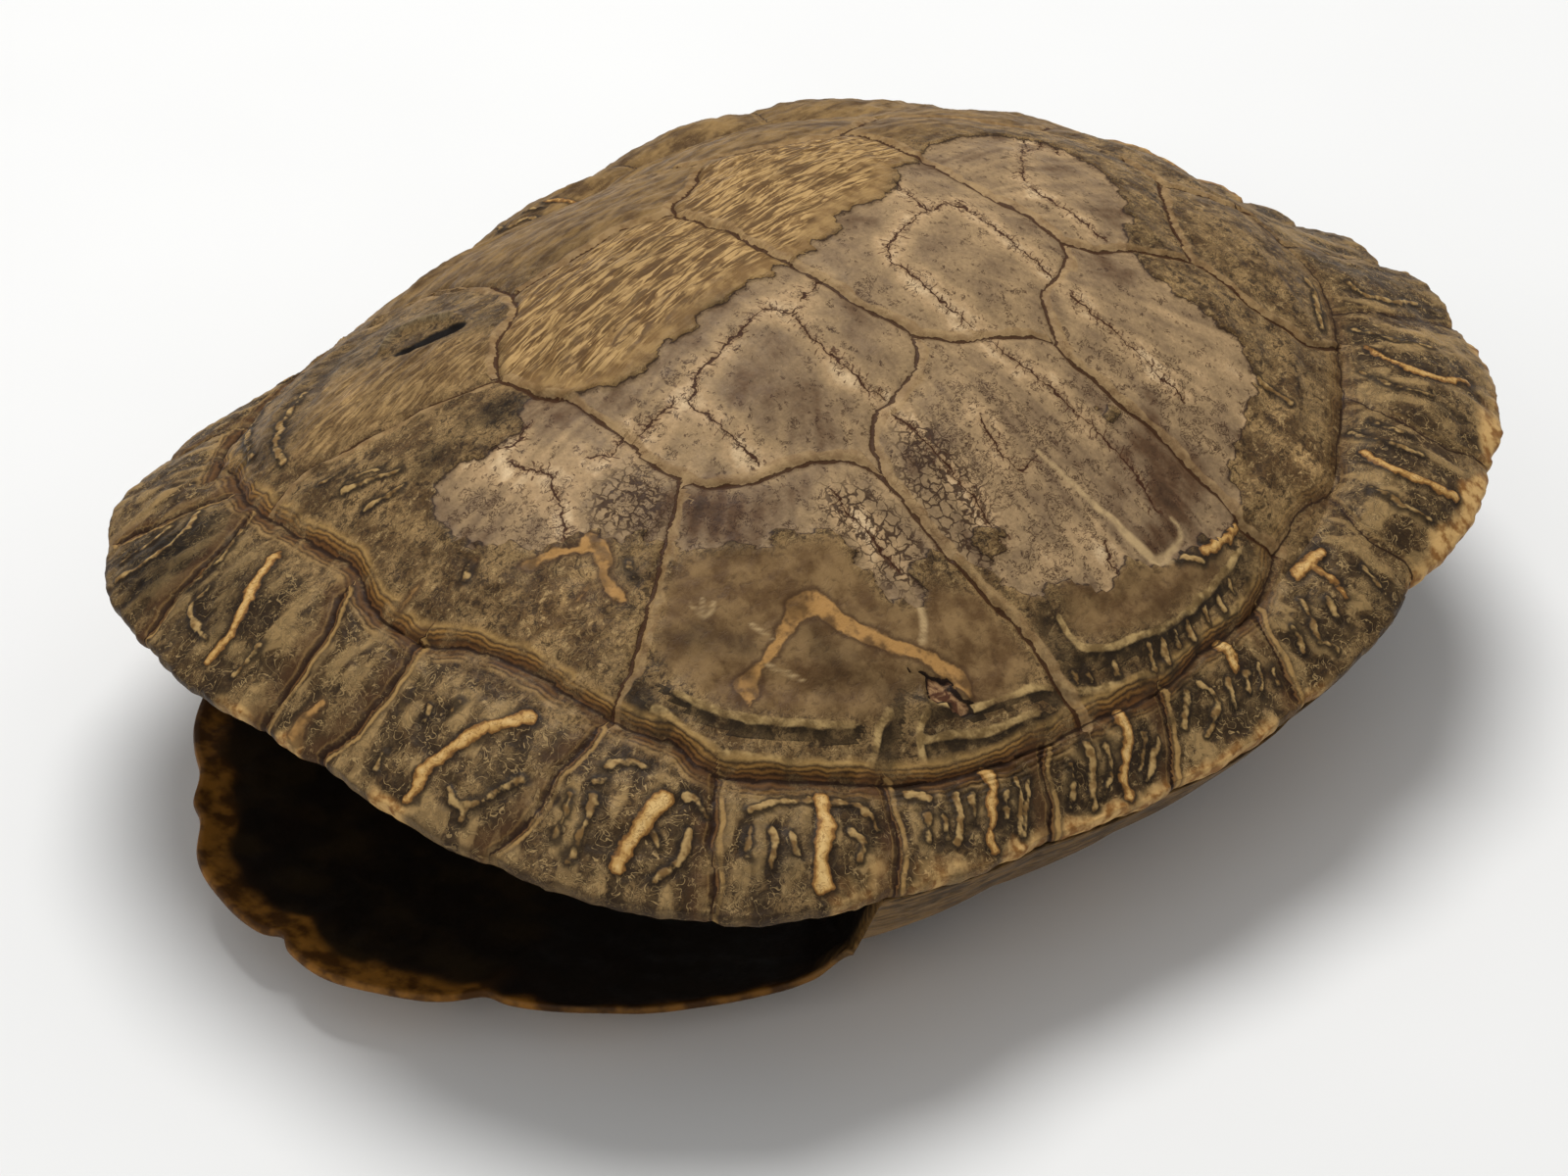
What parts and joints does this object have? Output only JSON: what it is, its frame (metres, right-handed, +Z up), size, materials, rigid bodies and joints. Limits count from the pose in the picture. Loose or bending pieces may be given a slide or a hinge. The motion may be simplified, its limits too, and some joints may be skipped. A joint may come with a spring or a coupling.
{
  "type": "turtle shell",
  "caption": "Empty turtle shell: a low oval dome of horny scutes with grooved seams over a flat lower plate, open at the front and the rear.",
  "frame": {"origin": "middle of the bounding box in plan, on the flat underside of the plastron", "axes": "+X to the animal's left, -Y towards its head, +Z up"},
  "size_m": [0.2194, 0.2802, 0.1017],
  "materials": {
    "carapace": "olive-brown horn with yellow bars, worn through to greyish bone on the back, satin",
    "plastron": "nearly black brown inside, amber and translucent at the free edges, satin"
  },
  "bodies": {
    "root": {"carapace": "carapace", "plastron": "plastron"}
  },
  "joints": []
}
